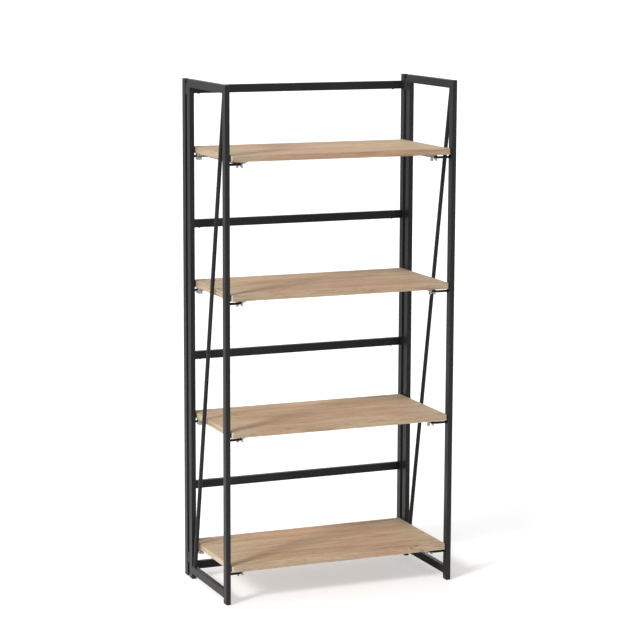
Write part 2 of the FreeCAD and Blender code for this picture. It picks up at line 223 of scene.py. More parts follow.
def build_powder_coat(rubbed_edges):
    """Baked powder: orange peel, fine grit, faint clouds of tone and thin edges."""
    tree, given, out = new_group(
        "powder coat",
        [("Place", "Vector", None), ("Coat", "Color", None), ("Thin Coat", "Color", None),
         ("Gloss Roughness", "Float", None), ("Grit", "Float", COAT_GRIT)],
        [("Color", "Color"), ("Roughness", "Float"), ("Normal", "Vector")])
    where = given.outputs["Place"]
    thin = given.outputs["Thin Coat"]
    tone = clouds(tree, where, COAT_CLOUDS)
    peel = clouds(tree, where, COAT_PEEL)
    grit = place(tree, "TexVoronoi", {"Vector": where, "Scale": given.outputs["Grit"]},
                 feature="F1").outputs["Distance"]
    speck = remap(tree, grit, SPECK_RIM, SPECK_CORE)
    edge = use_group(tree, rubbed_edges, {"Place": where}).outputs["Mask"]
    clouded = blend_colours(tree, spread(tree, tone, 0.0, CLOUD_SHARE),
                            given.outputs["Coat"], thin)
    flecked = blend_colours(tree, maths(tree, "MULTIPLY", speck, SPECK_SHARE), clouded, thin)
    worn = blend_colours(tree, maths(tree, "MULTIPLY", edge, WEAR_SHARE), flecked, thin)
    gloss = maths(tree, "ADD", given.outputs["Gloss Roughness"],
                  spread(tree, tone, CLOUD_SHINE, CLOUD_DULLING))
    rough = maths(tree, "ADD", gloss, maths(tree, "MULTIPLY", edge, WEAR_DULLING))
    height = maths(tree, "ADD", peel, maths(tree, "MULTIPLY", speck, SPECK_HEIGHT))
    put_out(tree, out, Color=worn, Roughness=rough, Normal=raised(tree, PEEL_RELIEF, height))
    return tree


# ---------------------------------------------------------------- oak print

# Each mark of the print is a noise drawn out along the grain: its cycles per metre along
# and across, its detail and roughness, the values between which the mark comes in, and
# how strongly it shows then.
Mark = namedtuple("Mark", "along across detail roughness start full strength")

BANDS = Mark(1.7, 24.0, 2.0, 0.5, 0.36, 0.64, 1.0)
FLUSHES = Mark(2.3, 6.0, 1.0, 0.5, 0.4, 0.58, 0.8)
PALE_STREAKS = Mark(5.0, 130.0, 2.0, 0.5, 0.52, 0.66, 0.45)
DARK_STREAKS = Mark(8.0, 165.0, 3.0, 0.6, 0.54, 0.68, 0.48)
LONG_LINES = Mark(2.6, 300.0, 2.0, 0.5, 0.52, 0.7, 0.44)
FINE_STREAKS = Mark(36.0, 430.0, 3.0, 0.6, 0.5, 0.76, 0.36)
PORES = Mark(60.0, 1250.0, 1.0, 0.5, 0.62, 0.72, 1.0)
SMUDGES = Mark(12.0, 150.0, 2.0, 0.5, 0.56, 0.72, 0.7)
SMUDGE_PATCHES = Mark(3.1, 11.0, 1.0, 0.5, 0.44, 0.62, 1.0)
CRACKS = Mark(5.0, 34.0, 2.0, 0.5, 0.016, 0.005, 0.8)       # values off the noise's middle
CRACK_PATCHES = Mark(2.4, 9.0, 1.0, 0.5, 0.6, 0.68, 1.0)
ARCHES = Mark(1.7, 8.0, 1.0, 0.5, 0.1, 1.0, 1.0)            # values in the wave of the rings
ARCH_RINGS = 95.0
SWAY = Mark(2.6, 7.0, 1.0, 0.5, 0.2, 0.8, 12.0 * MM)        # shift of the grain to each side
PORE_DARKNESS = 0.45
# Share of the painted sheen's grey at the boards' ends
END_SHEEN_SHARE = 0.65
FIBRE_LOW = 0.25               # noise of the fine streaks where the print shines most
FIBRE_HIGH = 0.75
FIBRE_SHINE = 0.52             # and its roughness there
FIBRE_DULLNESS = 0.68
FIBRE_HEIGHT = 0.4             # as a share of the pores' depth


def drawn_out(tree, vector, mark):
    """Noise of a mark, drawn out along X."""
    along_grain = stretched(tree, vector, mark.along, mark.across, mark.across)
    return clouds(tree, along_grain, detail=mark.detail, roughness=mark.roughness)


def printed(tree, value, mark):
    """How strongly a mark shows at a value of its noise."""
    return remap(tree, value, mark.start, mark.full, 0.0, mark.strength)


def build_oak_print():
    """Printed oak, grain along X: tone bands, rosy flushes, streaks, cracks, painted sheen
    at the ends.
    """
    tree, given, out = new_group(
        "oak print",
        [("Place", "Vector", None), ("Pale", "Color", None), ("Tan", "Color", None),
         ("Rose", "Color", None), ("Brown", "Color", None), ("Sheen Grey", "Color", None),
         ("Arches", "Float", None), ("Middle", "Float", None)],
        [("Color", "Color"), ("Roughness", "Float"), ("Height", "Float")])
    where = given.outputs["Place"]
    pale = given.outputs["Pale"]
    middle = given.outputs["Middle"]
    aside = remap(tree, drawn_out(tree, where, SWAY), SWAY.start, SWAY.full, -SWAY.strength,
                  SWAY.strength)
    shift = place(tree, "CombineXYZ", {"Y": aside}).outputs[0]
    swayed = place(tree, "VectorMath", {0: where, 1: shift}, operation="ADD").outputs[0]

    def noise(mark):
        return drawn_out(tree, swayed, mark)

    def mask(mark):
        return printed(tree, noise(mark), mark)

    rosy = maths(tree, "MULTIPLY", mask(FLUSHES), middle)
    # Painted sheen: the print greys toward the board's ends, standing in for the white
    # room's reflection
    painted_end_sheen = remap(tree, middle, 1.0, 0.0, 0.0, END_SHEEN_SHARE)
    ground = blend_colours(tree, mask(BANDS), given.outputs["Tan"], pale)
    ground = blend_colours(tree, rosy, ground, given.outputs["Rose"])
    ground = blend_colours(tree, painted_end_sheen, ground, given.outputs["Sheen Grey"])
    shade = blend_colours(tree, mask(PALE_STREAKS), ground, pale)

    rings = maths(tree, "SINE", maths(tree, "MULTIPLY", noise(ARCHES), ARCH_RINGS))
    arch = maths(tree, "MULTIPLY", printed(tree, rings, ARCHES), given.outputs["Arches"])
    fibre = noise(FINE_STREAKS)
    thread = printed(tree, fibre, FINE_STREAKS)
    smudge = maths(tree, "MULTIPLY", mask(SMUDGES), mask(SMUDGE_PATCHES))
    off_middle = maths(tree, "ABSOLUTE",
                       maths(tree, "SUBTRACT", noise(CRACKS), NOISE_MIDDLE))
    crack = maths(tree, "MULTIPLY", printed(tree, off_middle, CRACKS), mask(CRACK_PATCHES))
    pore = mask(PORES)
    dark_pore = maths(tree, "MULTIPLY", pore, PORE_DARKNESS)
    for share in (arch, mask(DARK_STREAKS), mask(LONG_LINES), thread, smudge, crack,
                  dark_pore):
        shade = blend_colours(tree, share, shade, given.outputs["Brown"])

    rough = remap(tree, fibre, FIBRE_LOW, FIBRE_HIGH, FIBRE_SHINE, FIBRE_DULLNESS)
    height = maths(tree, "SUBTRACT", maths(tree, "MULTIPLY", fibre, FIBRE_HEIGHT), pore)
    put_out(tree, out, Color=shade, Roughness=rough, Height=height)
    return tree


# ---------------------------------------------------------------- moulded skin

SKIN_GRAIN = 1600.0            # per metre
SKIN_DUST = 60.0               # patches per metre
SKIN_BREAKUP = 0.6             # how rough the noise of the grain and the dust is
DUST_START = 0.5
DUST_FULL = 0.75
DUST_SHARE = 0.4
GRAIN_SHINE = -0.06            # change of roughness in the pits of the grain
GRAIN_DULLING = 0.08           # and on its peaks
SKIN_RELIEF = Relief(0.5, 0.06 * MM)


def build_moulded_skin():
    """Moulded plastic or rubber: a fine spark-eroded grain and a little dust."""
    tree, given, out = new_group(
        "moulded skin",
        [("Place", "Vector", None), ("Base", "Color", None), ("Dust", "Color", None),
         ("Dullness", "Float", None), ("Grain", "Float", SKIN_GRAIN)],
        [("Color", "Color"), ("Roughness", "Float"), ("Normal", "Vector")])
    where = given.outputs["Place"]
    grain = clouds(tree, where, given.outputs["Grain"], roughness=SKIN_BREAKUP)
    patches = clouds(tree, where, SKIN_DUST, detail=4.0, roughness=SKIN_BREAKUP)
    dust = remap(tree, patches, DUST_START, DUST_FULL, 0.0, DUST_SHARE)
    dusty = blend_colours(tree, dust, given.outputs["Base"], given.outputs["Dust"])
    rough = maths(tree, "ADD", given.outputs["Dullness"],
                  spread(tree, grain, GRAIN_SHINE, GRAIN_DULLING))
    put_out(tree, out, Color=dusty, Roughness=rough, Normal=raised(tree, SKIN_RELIEF, grain))
    return tree


powder_coat = build_powder_coat(build_rubbed_edges())
oak_print = build_oak_print()
moulded_skin = build_moulded_skin()


# ---------------------------------------------------------------- steel and plastic

BLACK_COAT = colour(0.0125, 0.0125, 0.013)
WIRE_COAT = colour(0.007, 0.007, 0.0075)
THIN_COAT = colour(0.028, 0.028, 0.029)
HINGE_COAT = colour(0.024, 0.024, 0.025)
THIN_HINGE_COAT = colour(0.036, 0.036, 0.037)
WIRE_GRIT = 1900.0             # per metre
WIRE_ROUNDING = 1.3 * MM
ROUNDING_SAMPLES = 6


def coated_steel(name, coat, thin_coat, roughness, specular, grit=COAT_GRIT, rounding=0.0):
    """Steel under black powder. Rounding shades the flats of a many-sided wire as round."""
    material, tree, shader = new_finish(name, Specular_IOR_Level=specular)
    skin = use_group(tree, powder_coat, {
        "Place": piece_place(tree), "Coat": coat, "Thin Coat": thin_coat,
        "Gloss Roughness": roughness, "Grit": grit}).outputs
    normal = skin["Normal"]
    if rounding > 0:
        normal = place(tree, "Bevel", {"Radius": rounding, "Normal": normal},
                       samples=ROUNDING_SAMPLES).outputs[0]
    join_shader(tree, shader, skin["Color"], skin["Roughness"], normal)
    return material


def moulded_plastic(name, base, dust, dullness, specular, grain=SKIN_GRAIN):
    """Black plastic of the caps and feet, or rubber of the bumpers."""
    material, tree, shader = new_finish(name, Specular_IOR_Level=specular)
    skin = use_group(tree, moulded_skin, {
        "Place": piece_place(tree), "Base": base, "Dust": dust, "Dullness": dullness,
        "Grain": grain}).outputs
    join_shader(tree, shader, skin["Color"], skin["Roughness"], skin["Normal"])
    return material


TURNING = (300.0, 300.0, 6000.0)        # marks per metre, closest along the axis
TURNING_RELIEF = Relief(0.3, 0.03 * MM)
TURNING_SHINE = 0.24
TURNING_DULLNESS = 0.42
STAINS = 500.0                 # per metre
STAIN_START = 0.4
STAIN_FULL = 0.7
BRIGHT_STEEL = colour(0.52, 0.52, 0.5)
STAINED_STEEL = colour(0.36, 0.36, 0.35)


def turned_steel(name):
    """Bright zinc-plated steel of the screws and hinge pins, with fine turning marks."""
    material, tree, shader = new_finish(name, Metallic=1.0)
    where = piece_place(tree)
    marks = clouds(tree, stretched(tree, where, *TURNING))
    stain = clouds(tree, where, STAINS, detail=3.0)
    tint = blend_colours(tree, remap(tree, stain, STAIN_START, STAIN_FULL), BRIGHT_STEEL,
                         STAINED_STEEL)
    join_shader(tree, shader, tint, spread(tree, marks, TURNING_SHINE, TURNING_DULLNESS),
                raised(tree, TURNING_RELIEF, marks))
    return material


FLOW_LINES = (150.0, 150.0, 420.0)      # per metre
FLOW_RELIEF = Relief(0.1, 0.1 * MM)
FLOW_SHINE = 0.22
FLOW_DULLNESS = 0.3
MILKY_START = 0.35
MILKY_FULL = 0.7
CLEAR_TINT = colour(0.68, 0.69, 0.67)
MILKY_TINT = colour(0.65, 0.66, 0.64)


def clear_plastic(name):
    """Clouded clear plastic of the snap clips."""
    material, tree, shader = new_finish(name, Transmission_Weight=0.5, IOR=1.46,
                                        Specular_IOR_Level=0.5)
    flow = clouds(tree, stretched(tree, piece_place(tree), *FLOW_LINES))
    tint = blend_colours(tree, remap(tree, flow, MILKY_START, MILKY_FULL), CLEAR_TINT,
                         MILKY_TINT)
    join_shader(tree, shader, tint, spread(tree, flow, FLOW_SHINE, FLOW_DULLNESS),
                raised(tree, FLOW_RELIEF, flow))
    return material


# ---------------------------------------------------------------- boards' finishes

PALE_OAK = colour(0.66, 0.50, 0.33)
TAN_OAK = colour(0.545, 0.355, 0.21)
ROSE_OAK = colour(0.58, 0.36, 0.235)
BROWN_OAK = colour(0.23, 0.12, 0.06)
# Grey of the painted sheen on the boards' ends
OAK_SHEEN_GREY = colour(0.55, 0.45, 0.31)
BOARD_ARCHES = 0.08            # how strongly the arches show
BOARD_RELIEF = Relief(0.4, 0.08 * MM)

PALE_BAND = colour(0.60, 0.455, 0.295)
TAN_BAND = colour(0.51, 0.335, 0.195)
ROSE_BAND = colour(0.555, 0.35, 0.22)
BEND_PALE_AND_HIGHLIGHT = colour(0.80, 0.74, 0.66)
BAND_ARCHES = 0.05
BAND_RELIEF = Relief(0.3, 0.06 * MM)

BAND_THICKNESS = 0.8 * MM
BOARD_CORNER = 5.0 * MM
END_TONE_START = 170.0 * MM    # from the board's middle, where a painted sheen starts to grey the print
END_TONE_FULL = 280.0 * MM
EDGE_LINE_START = 0.1 * MM     # from the laminate's edge
EDGE_LINE_END = 0.45 * MM
GLUE_AND_SHADE_DARKNESS = 0.55
BENT_START = 0.3 * MM          # into the bend, where the band starts to pale, partly from stretching and partly painted highlight
BENT_FULL = 2.6 * MM
BEND_PALE_AND_HIGHLIGHT_STRENGTH = 0.42


def toward_middle(tree, parts):
    """1 over the board's middle, 0 at its ends."""
    off_middle = maths(tree, "ABSOLUTE", parts["X"])
    return remap(tree, off_middle, END_TONE_FULL, END_TONE_START)


def past_corner_lines(tree, parts, low, high, corner):
    """How far a place lies outside the inner ends of the rounded corners, along X and Y."""
    middle = (low + high) / 2
    half = (high - low) / 2
    reach = {}
    for axis, centre, extent in (("X", middle.x, half.x), ("Y", middle.y, half.y)):
        from_middle = maths(tree, "SUBTRACT", parts[axis], centre)
        reach[axis] = maths(tree, "SUBTRACT", maths(tree, "ABSOLUTE", from_middle),
                            extent - corner)
    return reach


def rim_mask(tree, parts, low, high, corner, first, last):
    """1 on a plank's face near its rounded outline, 0 further in than the last distance."""
    reach = past_corner_lines(tree, parts, low, high, corner)
    past = {axis: maths(tree, "MAXIMUM", reach[axis], 0.0) for axis in reach}
    squares = maths(tree, "ADD", maths(tree, "MULTIPLY", past["X"], past["X"]),
                    maths(tree, "MULTIPLY", past["Y"], past["Y"]))
    inside = maths(tree, "MINIMUM", maths(tree, "MAXIMUM", reach["X"], reach["Y"]), 0.0)
    outward = maths(tree, "ADD", maths(tree, "SQRT", squares), inside)
    return remap(tree, outward, corner - last, corner - first)


def oak_laminate(board):
    """Boards' printed faces, with a dark line inside the edge band: the glue joint and
    painted contact shade.
    """
    material, tree, shader = new_finish("oak laminate", Specular_IOR_Level=0.2)
    where = piece_place(tree)
    parts = place(tree, "SeparateXYZ", {0: where}).outputs
    grain = use_group(tree, oak_print, {
        "Place": where, "Pale": PALE_OAK, "Tan": TAN_OAK, "Rose": ROSE_OAK,
        "Brown": BROWN_OAK, "Sheen Grey": OAK_SHEEN_GREY, "Arches": BOARD_ARCHES,
        "Middle": toward_middle(tree, parts)}).outputs
    low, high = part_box(board)
    # Dark line at the band: the glue joint and painted contact shade along the board's edge
    glue_and_painted_shade = rim_mask(tree, parts, low, high, BOARD_CORNER - BAND_THICKNESS, EDGE_LINE_START,
                    EDGE_LINE_END)
    surface = blend_colours(tree, maths(tree, "MULTIPLY", glue_and_painted_shade, GLUE_AND_SHADE_DARKNESS),
                            grain["Color"], BROWN_OAK)
    join_shader(tree, shader, surface, grain["Roughness"],
                raised(tree, BOARD_RELIEF, grain["Height"]))
    return material


def oak_edge_band(band):
    """Edge band. On the board's ends its print runs along Y; where it bends it is paler,
    partly stretched and partly painted highlight.
    """
    material, tree, shader = new_finish("oak edge band", Specular_IOR_Level=0.5,
                                        Coat_Weight=0.5, Coat_Roughness=0.3)
    where = piece_place(tree)
    parts = place(tree, "SeparateXYZ", {0: where}).outputs
    turned = place(tree, "CombineXYZ", {"X": parts["Y"], "Y": parts["X"],
                                        "Z": parts["Z"]}).outputs[0]
    low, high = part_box(band)
    off_middle = maths(tree, "ABSOLUTE", parts["X"])
    at_end = maths(tree, "GREATER_THAN", off_middle, high.x - BAND_THICKNESS)
    along = place(tree, "Mix", {0: at_end, 4: where, 5: turned},
                  data_type="VECTOR").outputs[1]
    grain = use_group(tree, oak_print, {
        "Place": along, "Pale": PALE_BAND, "Tan": TAN_BAND, "Rose": ROSE_BAND,
        "Brown": BROWN_OAK, "Sheen Grey": OAK_SHEEN_GREY, "Arches": BAND_ARCHES,
        "Middle": toward_middle(tree, parts)}).outputs
    reach = past_corner_lines(tree, parts, low, high, BOARD_CORNER)
    in_bend = maths(tree, "MINIMUM", reach["X"], reach["Y"])
    # Pale bend: the stretched band's paler tone and a painted highlight on the rounded
    # corner
    bend_pale_and_highlight = remap(tree, in_bend, BENT_START, BENT_FULL, 0.0, BEND_PALE_AND_HIGHLIGHT_STRENGTH)
    surface = blend_colours(tree, bend_pale_and_highlight, grain["Color"], BEND_PALE_AND_HIGHLIGHT)
    join_shader(tree, shader, surface, grain["Roughness"],
                raised(tree, BAND_RELIEF, grain["Height"]))
    return material


# ---------------------------------------------------------------- finish of each slot

finishes = {
    "black_powder_coat": coated_steel("black powder coat", BLACK_COAT, THIN_COAT,
                                      roughness=0.4, specular=0.28),
    "black_wire": coated_steel("black wire coat", WIRE_COAT, THIN_COAT, roughness=0.38,
                               specular=0.2, grit=WIRE_GRIT, rounding=WIRE_ROUNDING),
    "hinge_steel": coated_steel("hinge coat", HINGE_COAT, THIN_HINGE_COAT, roughness=0.42,
                                specular=0.35),
    "hinge_pin_steel": turned_steel("bright steel"),
    "foot_plastic": moulded_plastic("foot plastic", base=colour(0.013, 0.013, 0.014),
                                    dust=colour(0.05, 0.048, 0.045), dullness=0.58,
                                    specular=0.4),
    "cap_plastic": moulded_plastic("cap plastic", base=colour(0.015, 0.015, 0.016),
                                   dust=colour(0.045, 0.045, 0.045), dullness=0.5,
                                   specular=0.4),
    "bumper_rubber": moulded_plastic("bumper rubber", base=colour(0.012, 0.012, 0.012),
                                     dust=colour(0.06, 0.058, 0.055), dullness=0.75,
                                     specular=0.3, grain=1100.0),
    "oak_laminate": oak_laminate("shelf_1_board"),
    "oak_edge_band": oak_edge_band("shelf_1_edge_band"),
    "clear_clip_plastic": clear_plastic("clear clip plastic"),
}

for part in frame["record"]["subparts"]:
    for slot in nodes[part["node"]].material_slots:
        slot.material = finishes[part["material_slot"]]


# ---------------------------------------------------------------- making new pieces

SHARP_ANGLE = math.radians(35)


def into_scene(name, data):
    """Object in the scene for a mesh, a lamp or a lens."""
    thing = bpy.data.objects.new(name, data)
    bpy.context.scene.collection.objects.link(thing)
    return thing


def finished_piece(name, builder, slot, body):
    """Turns a bmesh into a piece with its finish that rides on a body."""
    mesh = bpy.data.meshes.new(name)
    bmesh.ops.recalc_face_normals(builder, faces=builder.faces)
    builder.to_mesh(mesh)
    builder.free()
    mesh.shade_smooth()
    mesh.set_sharp_from_angle(angle=SHARP_ANGLE)
    piece = into_scene(name, mesh)
    mesh.materials.append(finishes[slot])
    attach(piece, body)


def ring_of(builder, centre, across, up, radius, count):
    """Circle of points round a centre."""
    turn = 2 * math.pi / count
    return [builder.verts.new(centre + across * radius * math.cos(step * turn)
                              + up * radius * math.sin(step * turn))
            for step in range(count)]


def join_rings(builder, first, second):
    count = len(first)
    for step in range(count):
        after = (step + 1) % count
        builder.faces.new((first[step], first[after], second[after], second[step]))


def close_ring(builder, ring):
    builder.faces.new(ring)


def ring_edges(builder, ring):
    """Edges of a closed ring. Those that aren't there yet are made."""
    edges = []
    for step, corner in enumerate(ring):
        ends = (corner, ring[(step + 1) % len(ring)])
        edges.append(builder.edges.get(ends) or builder.edges.new(ends))
    return edges


# ---------------------------------------------------------------- clip screws

# Cross-slot pan heads under the clips' flanges
SCREW_REACH = 16.0 * MM        # from the wire's axis
SCREW_SEAT_DROP = 2.8 * MM     # of the flange's underside below the board
SCREW_HEAD_RADIUS = 3.2 * MM
SCREW_HEAD_HEIGHT = 1.8 * MM
SCREW_SHANK_RADIUS = 1.4 * MM
SCREW_SHANK_LENGTH = 1.5 * MM
SCREW_SLOT_REACH = 1.9 * MM
SCREW_SLOT_HALF = 0.42 * MM
SCREW_SLOT_DEPTH = 1.0 * MM
SCREW_SLOT_TAPER = 0.8         # its floor's width and reach, as a share of its mouth's
SCREW_SIDES = 32
# Radius and drop along the head, as shares of its radius and height
PAN_PROFILE = ((1.0, 0.0), (1.0, 0.28), (0.97, 0.5), (0.88, 0.74), (0.72, 0.9), (0.62, 0.96))
QUARTERS = 4


def slot_point(builder, centre, quarter, reach, half, height):
    """Corner of the cross slot in one quarter, at a height over its centre."""
    angle = quarter * math.pi / 2
    x = reach * math.cos(angle) - half * math.sin(angle)
    y = reach * math.sin(angle) + half * math.cos(angle)
    return builder.verts.new(centre + Vector((x, y, height)))


def cross_slot(builder, centre, crown_ring, crown_height):
    """Cross-shaped recess that fills the middle of a screw's head."""
    outline = []
    floor = []
    for quarter in range(QUARTERS):
        for reach, half in ((SCREW_SLOT_REACH, -SCREW_SLOT_HALF),
                            (SCREW_SLOT_REACH, SCREW_SLOT_HALF),
                            (SCREW_SLOT_HALF, SCREW_SLOT_HALF)):
            outline.append(slot_point(builder, centre, quarter, reach, half, crown_height))
            floor.append(slot_point(builder, centre, quarter, reach * SCREW_SLOT_TAPER,
                                    half * SCREW_SLOT_TAPER,
                                    crown_height + SCREW_SLOT_DEPTH))
    join_rings(builder, outline, floor)
    close_ring(builder, floor)
    rims = ring_edges(builder, crown_ring) + ring_edges(builder, outline)
    bmesh.ops.triangle_fill(builder, use_beauty=True, use_dissolve=False, edges=rims)


def add_screw(builder, seat):
    """Pan-head screw that points up, with its head's flat side at the seat."""

    def level_ring(height, radius):
        return ring_of(builder, seat + UPRIGHT * height, SIDEWAYS, BACKWARD, radius,
                       SCREW_SIDES)

    shank_top = level_ring(SCREW_SHANK_LENGTH, SCREW_SHANK_RADIUS)
    before = level_ring(0, SCREW_SHANK_RADIUS)
    close_ring(builder, shank_top)
    join_rings(builder, shank_top, before)
    for radius_share, drop_share in PAN_PROFILE:
        ring = level_ring(-SCREW_HEAD_HEIGHT * drop_share, SCREW_HEAD_RADIUS * radius_share)
        join_rings(builder, before, ring)
        before = ring
    crown_height = -SCREW_HEAD_HEIGHT * PAN_PROFILE[-1][1]
    cross_slot(builder, seat, before, crown_height)


def clip_screws(shelf):
    """Four screws, one in each clip's flange."""
    wire_low, wire_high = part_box("right_wire_support_%d" % shelf)
    wire_radius = (wire_high.z - wire_low.z) / 2
    run_x = wire_low.x + wire_radius
    cross_y = wire_high.y - wire_radius
    front_low, front_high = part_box("shelf_%d_front_clips" % shelf)
    rear_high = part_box("shelf_%d_rear_clips" % shelf)[1]
    front_y = (front_low.y + front_high.y) / 2
    rear_clip_half = (front_high.y - front_low.y) / 2
    rear_x = rear_high.x - rear_clip_half
    seat_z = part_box("shelf_%d_board" % shelf)[0].z - SCREW_SEAT_DROP
    builder = bmesh.new()
    for side in SIDES.values():
        add_screw(builder, Vector((side * (run_x - SCREW_REACH), front_y, seat_z)))
        add_screw(builder, Vector((side * rear_x, cross_y - SCREW_REACH, seat_z)))
    finished_piece("shelf_%d_clip_screws" % shelf, builder, "hinge_pin_steel",
                   "shelf_%d" % shelf)


for shelf_number in SHELVES:
    clip_screws(shelf_number)


# ---------------------------------------------------------------- weld beads

BEAD_RADIUS = 1.3 * MM
WIRE_BEAD_RADIUS = 1.0 * MM
HINGE_BEAD_RADIUS = 0.9 * MM
BRACE_BEAD_RADIUS = 0.65 * MM  # slim, so that it stays within the 12 mm tube
BEAD_INSET = 2.4 * MM          # of a straight bead's ends from the tube's faces
HINGE_BEAD_INSET = 1.2 * MM
BEAD_STAND_OFF = 0.2 * MM      # of a bead's middle from the tube or wire it goes round
BEAD_RIPPLE = 0.16             # share of the radius that each ripple adds
BEAD_RIPPLE_PITCH = 1.4 * MM
BEAD_BLUNTNESS = 0.15          # how much of a bead's rounded end is missing, in radii
BEAD_SIDES = 8
BEAD_STEP = 0.45 * MM
BEAD_LEAST_STEPS = 6
BRACE_TOP_SETBACK = 1.0 * MM   # of the brace's axis from the front post
BRACE_BEAD_REACH = math.radians(98)
BARREL_HEIGHT = 13.0 * MM
BARREL_FOOT_HALF = 3.5 * MM


def steps_along(length):
    return max(BEAD_LEAST_STEPS, round(length / BEAD_STEP))


def end_taper(travelled, length, radius):
    """How much a bead has swollen to its full size at a place along it."""
    from_end = min(travelled, length - travelled)
    return math.sqrt(min(1.0, (from_end + BEAD_BLUNTNESS * radius) / radius))


def ripple(travelled):
    """Scale of the bead's radius where each pool of the weld swells."""
    return 1 + BEAD_RIPPLE * abs(math.sin(math.pi * travelled / BEAD_RIPPLE_PITCH))


def close_bead(builder, rings):
    for first, second in zip(rings, rings[1:]):
        join_rings(builder, first, second)
    close_ring(builder, rings[0])
    close_ring(builder, rings[-1])


def bead_along(builder, start, finish, radius):
    """Straight rippled bead with rounded ends."""
    run = finish - start
    length = run.length
    heading = run.normalized()
    across = heading.orthogonal().normalized()
    up = heading.cross(across)
    count = steps_along(length)
    rings = []
    for step in range(count + 1):
        travelled = length * step / count
        swell = end_taper(travelled, length, radius) * ripple(travelled)
        rings.append(ring_of(builder, start + heading * travelled, across, up,
                             radius * swell, BEAD_SIDES))
    close_bead(builder, rings)


def bead_arc(builder, centre, axis, toward, ring_radius, radius, half_angle):
    """Rippled bead round an axis, to the same angle on both sides of a direction."""
    aside = axis.cross(toward)
    length = 2 * half_angle * ring_radius
    count = steps_along(length)
    rings = []
    for step in range(count + 1):
        angle = half_angle * (2 * step / count - 1)
        outward = toward * math.cos(angle) + aside * math.sin(angle)
        travelled = length * step / count
        swell = end_taper(travelled, length, radius) * ripple(travelled)
        rings.append(ring_of(builder, centre + outward * ring_radius, outward, axis,
                             radius * swell, BEAD_SIDES))
    close_bead(builder, rings)


def bead_round(builder, centre, axis, ring_radius, radius):
    """Rippled bead in a closed ring round an axis."""
    across = axis.orthogonal().normalized()
    up = axis.cross(across)
    count = steps_along(2 * math.pi * ring_radius)
    rings = []
    for step in range(count):
        angle = 2 * math.pi * step / count
        outward = across * math.cos(angle) + up * math.sin(angle)
        rings.append(ring_of(builder, centre + outward * ring_radius, outward, axis,
                             radius * ripple(ring_radius * angle), BEAD_SIDES))
    for step in range(count):
        join_rings(builder, rings[step], rings[(step + 1) % count])


def bead_up(builder, x, y, low, high):
    """Upright bead between the bottom and top faces of a tube, short of both."""
    bead_along(builder, Vector((x, y, low.z + BEAD_INSET)),
               Vector((x, y, high.z - BEAD_INSET)), BEAD_RADIUS)


def bead_sideways(builder, low, high, y, z):
    """Bead between the left and right faces of a tube, short of both."""
    bead_along(builder, Vector((low.x + BEAD_INSET, y, z)),
               Vector((high.x - BEAD_INSET, y, z)), BEAD_RADIUS)


def crossbar_beads():
    """Upright beads where each crossbar's front and back faces meet the rear posts."""
    builder = bmesh.new()
    for number in CROSSBARS:
        low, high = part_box("crossbar_%d" % number)
        for x in (low.x, high.x):
            for y in (low.y, high.y):
                bead_up(builder, x, y, low, high)
    finished_piece("crossbar_weld_beads", builder, "black_powder_coat", "frames")


def wire_beads(side_name):
    """Ring beads where the wires end on a side frame's posts."""
    builder = bmesh.new()
    for shelf in SHELVES:
        low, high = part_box("%s_wire_support_%d" % (side_name, shelf))
        radius = (high.z - low.z) / 2
        x = high.x if SIDES[side_name] > 0 else low.x
        for y in (low.y + radius, high.y - radius):
            bead_round(builder, Vector((x, y, (low.z + high.z) / 2)), SIDEWAYS,
                       radius + BEAD_STAND_OFF, WIRE_BEAD_RADIUS)
    finished_piece(side_name + "_wire_weld_beads", builder, "black_wire", "frames")


def rail_beads(side_name):
    """Beads at the bottom rail's ends, and cross beads under the top rail's corners."""
    builder = bmesh.new()
    low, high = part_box(side_name + "_bottom_rail")
    inner_x = low.x if SIDES[side_name] > 0 else high.x
    for y in (low.y, high.y):
        bead_up(builder, inner_x, y, low, high)
        bead_sideways(builder, low, high, y, high.z)
    top_low, top_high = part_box(side_name + "_top_rail")
    front_post_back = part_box(side_name + "_front_post")[1].y
    back_post_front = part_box(side_name + "_back_post")[0].y
    for y in (front_post_back, back_post_front):
        bead_sideways(builder, top_low, top_high, y, top_low.z)
    finished_piece(side_name + "_rail_weld_beads", builder, "black_powder_coat", "frames")


def brace_beads(side_name):
    """Beads round both ends of the slanting brace, open toward the front post above."""
    builder = bmesh.new()
    low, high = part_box(side_name + "_brace")
    radius = (high.x - low.x) / 2
    x = (low.x + high.x) / 2
    upper = Vector((x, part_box(side_name + "_front_post")[1].y + BRACE_TOP_SETBACK, high.z))
    lower = Vector((x, high.y - radius, low.z))
    bead_arc(builder, upper, UPRIGHT, BACKWARD, radius + BEAD_STAND_OFF, BRACE_BEAD_RADIUS,
             BRACE_BEAD_REACH)
    bead_round(builder, lower, UPRIGHT, radius + BEAD_STAND_OFF, BRACE_BEAD_RADIUS)
    finished_piece(side_name + "_brace_weld_beads", builder, "black_powder_coat", "frames")


def hinge_beads(side_name):
    """Upright beads on both sides of each barrel's foot."""
    builder = bmesh.new()
    for node, at_back in (("_hinge_frame_barrels", False), ("_hinge_rear_barrels", True)):
        low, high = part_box(side_name + node)
        axis_x = (low.x + high.x) / 2
        y = high.y if at_back else low.y
        for bottom in (low.z, high.z - BARREL_HEIGHT):
            for x in (axis_x - BARREL_FOOT_HALF, axis_x + BARREL_FOOT_HALF):
                bead_along(builder, Vector((x, y, bottom + HINGE_BEAD_INSET)),
                           Vector((x, y, bottom + BARREL_HEIGHT - HINGE_BEAD_INSET)),
                           HINGE_BEAD_RADIUS)
    finished_piece(side_name + "_hinge_weld_beads", builder, "hinge_steel", "frames")


crossbar_beads()
for name_of_side in SIDES:
    wire_beads(name_of_side)
    rail_beads(name_of_side)
    brace_beads(name_of_side)
    hinge_beads(name_of_side)


# ---------------------------------------------------------------- floor

